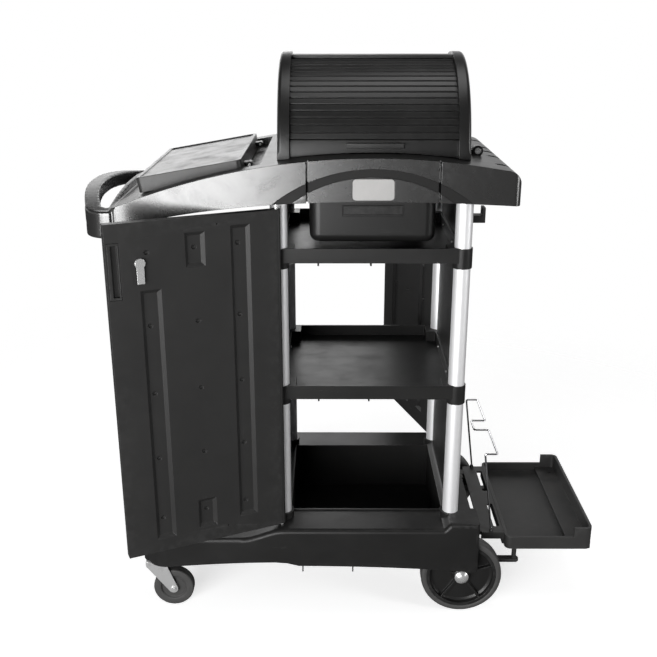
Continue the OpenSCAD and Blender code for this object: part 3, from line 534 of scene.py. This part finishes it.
def base():
    low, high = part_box("base_platform")
    middle = (low.y + high.y) / 2
    side = (high.y - low.y) / 2

    def on_side(at):
        return abs(at.y - middle) > side - 0.4 * MM and at.z > 0.19

    skirt = copied("base_platform", "base_moulding")
    pick(skirt, "EDGE", lambda a, b: on_side(a) and on_side(b) and abs(a.x - b.x) > 0.5 * MM)
    bpy.ops.mesh.bevel(offset=11 * MM, segments=6, affect="EDGES", clamp_overlap=False)
    mode("OBJECT")
    soften(skirt, 1.2 * MM)
    smooth(skirt)
    stands_for(skirt, "base_platform")


# ---------- doors ----------
CHANNELS = ((267, 312, 33, 637), (65, 110, 47, 760), (167, 211, 39, 114), (167, 211, 676, 753))
DIMPLE_COLUMNS = (92, 190, 294)
DIMPLE_ROWS = (85, 238, 397, 555, 719)
CHANNEL_DEPTH = 7 * MM
CHANNEL_SLOPE = 8 * MM
BARREL_RADIUS = 9 * MM


def channel_cutter(channel, face, floor):
    """A block with sloping sides, its wide end level with the face it cuts and carried on past it."""
    left, right, bottom, top = (edge * MM for edge in channel)
    block = cube("channel", (left, face - CHANNEL_DEPTH, floor + bottom), (right, face, floor + top))
    centre = ((left + right) / 2, face, floor + (bottom + top) / 2)
    pick(block, "FACE", lambda at, normal: normal.y < -0.9)
    narrowed = (1 - 2 * CHANNEL_SLOPE / (right - left), 1, 1 - 2 * CHANNEL_SLOPE / (top - bottom))
    bpy.ops.transform.resize(value=narrowed, center_override=centre)
    pick(block, "FACE", lambda at, normal: normal.y > 0.9)
    bpy.ops.mesh.extrude_region_move(TRANSFORM_OT_translate={"value": (0, 1 * MM, 0)})
    mode("OBJECT")
    return block


def door(end):
    """A blow-moulded door: sloping channels and countersunk tack-offs inside, a barrel at its hinge."""
    node = f"door_{end}_panel"
    hinge = Vector(JOINTS[f"{end}_door_hinge"]["pos_m"])
    facing = Vector(JOINTS[f"{end}_door_lock"]["axis"])
    along = Vector((facing.y, -facing.x, 0))
    low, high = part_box(node)
    hinge.z = 0
    corners = [vertex.co for vertex in NODES[node].data.vertices]
    width = max((corner - hinge).dot(along) for corner in corners)
    half = max((corner - hinge).dot(facing) for corner in corners if (corner - hinge).dot(along) > 0.05)
    panel = cube(f"{node}_moulding", (2 * MM, -half, low.z), (width, half, high.z))
    carve(panel, joined([channel_cutter(channel, half, low.z) for channel in CHANNELS]))
    cutters = []
    for u in DIMPLE_COLUMNS:
        for z in DIMPLE_ROWS:
            in_channel = any(c[0] < u < c[1] and c[2] < z < c[3] for c in CHANNELS)
            floor = half - (CHANNEL_DEPTH if in_channel else 0)
            bpy.ops.mesh.primitive_cone_add(vertices=32, radius1=3.2 * MM, radius2=6.4 * MM, depth=6 * MM,
                                            location=(u * MM, floor - 1.5 * MM, low.z + z * MM),
                                            rotation=(math.radians(-90), 0, 0))
            cutters.append(bpy.context.object)
    for z in (30, 766):
        bpy.ops.mesh.primitive_cylinder_add(vertices=16, radius=1.6 * MM, depth=10 * MM,
                                            location=(139 * MM, half, low.z + z * MM),
                                            rotation=(math.radians(90), 0, 0))
        cutters.append(bpy.context.object)
    carve(panel, joined(cutters))
    pull_low, pull_high = 622 * MM, 745 * MM
    carve(panel, cube("cutter", (width - 30 * MM, half - 11 * MM, low.z + pull_low),
                      (width - 4 * MM, half + 5 * MM, low.z + pull_high)))
    lock = Vector(JOINTS[f"{end}_door_lock"]["pos_m"])
    bpy.ops.mesh.primitive_cylinder_add(vertices=48, radius=10 * MM, depth=0.05,
                                        location=((lock - hinge).dot(along), 0, lock.z),
                                        rotation=(math.radians(90), 0, 0))
    carve(panel, bpy.context.object)
    soften(panel, 1.0 * MM, 3, 20)
    bpy.ops.mesh.primitive_cylinder_add(vertices=40, radius=BARREL_RADIUS, depth=high.z - low.z,
                                        location=(0, 0, (high.z + low.z) / 2))
    barrel = bpy.context.object
    for z in range(1, 8):
        height = low.z + (high.z - low.z) * z / 8
        pick(barrel, "FACE", lambda at, normal: abs(normal.z) < 0.5)
        cut(barrel, (0, 0, height - 0.8 * MM), (0, 0, 1))
        cut(barrel, (0, 0, height + 0.8 * MM), (0, 0, 1))
        pick(barrel, "FACE", lambda at, normal: abs(at.z - height) < 0.5 * MM)
        bpy.ops.mesh.extrude_region_shrink_fatten(TRANSFORM_OT_shrink_fatten={"value": -0.8 * MM})
    outward(barrel)
    bpy.ops.mesh.primitive_cylinder_add(vertices=32, radius=4.1 * MM, depth=high.z - low.z + 0.01,
                                        location=(0, 0, (high.z + low.z) / 2))
    carve(barrel, bpy.context.object)
    soften(barrel, 0.4 * MM)
    panel = joined([panel, barrel])
    panel.matrix_world = Matrix.Translation(hinge) @ Matrix((
        (along.x, facing.x, 0, 0), (along.y, facing.y, 0, 0), (0, 0, 1, 0), (0, 0, 0, 1)))
    smooth(panel)
    stands_for(panel, node)


# ---------- storage bin ----------
def storage_bin():
    """Bin with round corners and a round bottom edge, a rolled flange and a framed blank label."""
    low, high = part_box("storage_bin")
    flange = 10 * MM
    body_low = low + Vector((flange, flange, 0))
    body_high = high - Vector((flange, flange, 0))
    label = Vector(((low.x + high.x) / 2, body_low.y, low.z + 75 * MM))
    tub = cube("storage_bin_moulding", body_low, body_high)
    pick(tub, "EDGE", lambda a, b: abs(a.z - b.z) > 0.05)
    bpy.ops.mesh.bevel(offset=26 * MM, segments=8, affect="EDGES")
    pick(tub, "FACE", lambda at, normal: normal.z < -0.9)
    bpy.ops.mesh.bevel(offset=20 * MM, segments=6, affect="EDGES")
    pick(tub, "FACE", lambda at, normal: normal.z > 0.9)
    bpy.ops.mesh.inset(thickness=4 * MM)
    bpy.ops.mesh.extrude_region_move(TRANSFORM_OT_translate={"value": (0, 0, low.z + 6 * MM - high.z)})
    bpy.ops.mesh.bevel(offset=14 * MM, segments=4, affect="EDGES")
    for half in (70, 66):
        for side in (-1, 1):
            cut(tub, (label.x + side * half * MM, 0, 0), (1, 0, 0))
    for half in (13, 9):
        for side in (-1, 1):
            cut(tub, (0, 0, label.z + side * half * MM), (0, 0, 1))
    in_label = [label.x - 70 * MM, label.x + 70 * MM, label.z - 13 * MM, label.z + 13 * MM]
    pick(tub, "FACE", lambda at, normal: normal.y < -0.9 and at.y < body_low.y + 1 * MM
         and in_label[0] < at.x < in_label[1] and in_label[2] < at.z < in_label[3])
    bpy.ops.mesh.inset(thickness=1.2 * MM, depth=1.6 * MM)
    bpy.ops.mesh.inset(thickness=2.2 * MM)
    bpy.ops.mesh.inset(thickness=1.0 * MM, depth=-1.4 * MM)
    mode("OBJECT")
    lip = cube("lip", (low.x, low.y, high.z - 3.6 * MM), high)
    pick(lip, "EDGE", lambda a, b: abs(a.z - b.z) > 1 * MM)
    bpy.ops.mesh.bevel(offset=35 * MM, segments=8, affect="EDGES")
    mode("OBJECT")
    hole = cube("hole", body_low + Vector((2 * MM, 2 * MM, 0)),
                body_high + Vector((-2 * MM, -2 * MM, 10 * MM)))
    pick(hole, "EDGE", lambda a, b: abs(a.z - b.z) > 0.05)
    bpy.ops.mesh.bevel(offset=24 * MM, segments=8, affect="EDGES")
    mode("OBJECT")
    carve(lip, hole)
    soften(lip, 1.0 * MM)
    tub = joined([tub, lip])
    outward(tub)
    smooth(tub, 30)
    stands_for(tub, "storage_bin")


# ---------- wheels ----------
def tyre(node):
    """Solid tyre with round shoulders, a parting line and a step on its side wall."""
    low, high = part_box(node)
    centre = (low + high) / 2
    radius = (high.z - low.z) / 2
    half = (high.y - low.y) / 2
    seat = radius - 14 * MM
    outline = [(seat, -half + 2 * MM), (seat + 2 * MM, -half + 0.4 * MM), (radius - 8 * MM, -half)]
    for step in range(7):
        turn = math.radians(15 * step)
        outline.append((radius - 6.5 * MM + 6 * MM * math.sin(turn),
                        -half + 6.5 * MM - 6 * MM * math.cos(turn)))
    outline += [(radius, -half + 10 * MM), (radius, -0.8 * MM), (radius - 0.5 * MM, -0.5 * MM)]
    mirrored = [(r, -y) for r, y in reversed(outline)]
    smooth(stands_for(turned(node + "_tread", outline + mirrored, centre), node))


def wire_loop():
    """Bent wire: two leaning legs and a stepped loop with eased bends."""
    low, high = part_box("wire_frame")
    middle = (low.y + high.y) / 2
    r = 2.5 * MM
    foot = Vector(JOINTS["wire_swing"]["pos_m"])
    foot_y = (high.y - low.y) / 2 - 9.5 * MM
    top = high.z - r
    back_x = foot.x - 26.5 * MM
    half = [(foot.x, foot_y + 9.5 * MM, foot.z), (foot.x, foot_y, foot.z), (back_x, foot_y + 2 * MM, top),
            (back_x + 31 * MM, foot_y + 2 * MM, top), (back_x + 31 * MM, 29 * MM, top),
            (back_x - 7 * MM, 29 * MM, top)]
    route = [(x, middle - y, z) for x, y, z in half] + [(x, middle + y, z) for x, y, z in reversed(half)]
    rod = bent_rod("wire_frame_rod", route, r, 5 * MM)
    smooth(rod, 60)
    stands_for(rod, "wire_frame")


# ---------- everything ----------
SOFT_EDGES = {
    "middle_shelf": 1.2, "top_shelf": 1.2, "end_panel_left": 1.0, "end_panel_right": 1.0,
    "fascia_front": 1.4, "fascia_rear": 1.4, "hood_rear_shell": 0.8, "hood_lock_bracket": 0.8,
    "tambour_curtain": 0.25, "tambour_bottom_bar": 0.8, "tambour_handle": 2.4, "waste_lid": 1.6,
    "door_front_pull": 1.0, "door_rear_pull": 1.0, "platform_tray": 1.1, "platform_stays": 1.2,
    "tool_hook": 1.2, "wheel_front": 1.0, "wheel_rear": 1.0, "badge_plate": 0.8, "hub_caps": 0.8,
    "post_front_left": 0.5, "post_front_right": 0.5, "post_rear_left": 0.5, "post_rear_right": 0.5,
    "hood_lock_plug": 0.4, "lid_hinge_pins": 0.4, "platform_pins": 0.5, "wheel_axle": 0.8,
    "panel_screws": 0.4,
    "door_front_lock_body": 0.5, "door_rear_lock_body": 0.5, "door_front_cam": 0.5, "door_rear_cam": 0.5,
    "door_front_pins": 0.5, "door_rear_pins": 0.5, "caster_front_plate": 0.5, "caster_rear_plate": 0.5,
    "caster_front_fork": 0.7, "caster_rear_fork": 0.7, "caster_front_axle": 0.6, "caster_rear_axle": 0.6,
    "caster_front_wheel": 0.8, "caster_rear_wheel": 0.8,
}


def camera():
    bpy.ops.object.camera_add(location=(-0.0431, -2.3179, 1.4459), rotation=(math.radians(70.766), 0, 0.0025))
    bpy.context.scene.camera = bpy.context.object
    bpy.context.object.data.lens = 49.86


def softbox(name, at, towards, size, watts):
    bpy.ops.object.light_add(type="AREA", location=at)
    lamp = bpy.context.object
    lamp.name = name
    lamp.rotation_mode = "QUATERNION"
    lamp.rotation_quaternion = (Vector(towards) - Vector(at)).to_track_quat("-Z", "Y")
    lamp.data.shape = "RECTANGLE"
    lamp.data.size, lamp.data.size_y = size
    lamp.data.energy = watts
    lamp.visible_camera = False


def floor_paper():
    """Pale paper that fades into the backdrop for the camera, and a dim floor for reflections."""
    paper = Finish("studio_paper")
    shade = paper.blend(paper.noise(0.8, 2), (0.80, 0.80, 0.80, 1), (0.84, 0.84, 0.84, 1))
    paper.surface(Base_Color=shade, Roughness=0.9, Specular_IOR_Level=0.0,
                  Emission_Color=(1, 1, 1, 1), Emission_Strength=0.62)
    seen = paper.add("ShaderNodeLightPath", output="Is Camera Ray")
    away = paper.add("ShaderNodeVectorMath", {"operation": "LENGTH"}, {0: paper.place}, "Value")
    fade = paper.between(away, 1.0, 2.2)
    dim = paper.add("ShaderNodeBsdfDiffuse", None, {"Color": (0.16, 0.16, 0.16, 1)})
    clear = paper.add("ShaderNodeBsdfTransparent")
    bright = Signal(paper, paper.shader.outputs[0])
    lit = paper.add("ShaderNodeMixShader", None, {0: fade, 1: bright, 2: clear})
    both = paper.add("ShaderNodeMixShader", None, {0: seen, 1: dim, 2: lit})
    paper.join(paper.output.inputs["Surface"], both)
    return paper.material


def backdrop():
    """White for the camera; for the light it gives, bright low down behind the object and at its sides."""
    world = bpy.data.worlds.new("studio_world")
    bpy.context.scene.world = world
    world.use_nodes = True
    sky = Nodes(world.node_tree)
    direction = sky.add("ShaderNodeTexCoord", output="Generated")
    across, along, up = (sky.add("ShaderNodeSeparateXYZ", None, {0: direction}, part) for part in "XYZ")
    low = 1 - sky.between(up, 0.10, 0.75)
    side = sky.between(across * across, 0.45, 0.95)
    light = sky.between(along, 0.15, 0.85) * low * 1.15 + side * low * 0.40 + 0.06
    seen = sky.add("ShaderNodeLightPath", output="Is Camera Ray")
    strength = seen + (1 - seen) * light
    glow = sky.add("ShaderNodeBackground", None, {"Color": (1, 1, 1, 1), "Strength": strength})
    sky.join(sky.tree.nodes.new("ShaderNodeOutputWorld").inputs["Surface"], glow)


def studio():
    bpy.ops.mesh.primitive_plane_add(size=30)
    floor = bpy.context.object
    floor.name = "studio_floor"
    floor.data.materials.append(floor_paper())
    backdrop()
    softbox("key_softbox", (-1.85, -3.4, 0.9), (-1.45, 0, 0.9), (3.0, 1.6), 185)
    softbox("top_softbox", (0.3, -0.2, 3.4), (0.1, 0, 0.8), (1.6, 1.2), 15)
    softbox("right_softbox", (2.9, -1.6, 1.3), (0.2, 0, 0.8), (0.8, 1.8), 34)
    softbox("back_softbox", (-0.9, 3.2, 1.9), (0, 0, 0.8), (2.4, 1.2), 22)
    bpy.context.scene.view_settings.view_transform = "Standard"


camera()
studio()
top_deck()
base()
hood_end("hood_end_left", -1)
hood_end("hood_end_right", 1)
for end in ("front", "rear"):
    door(end)
    tyre("tyre_" + end)
storage_bin()
wire_loop()
for node, width in SOFT_EDGES.items():
    softened(node, width * MM)
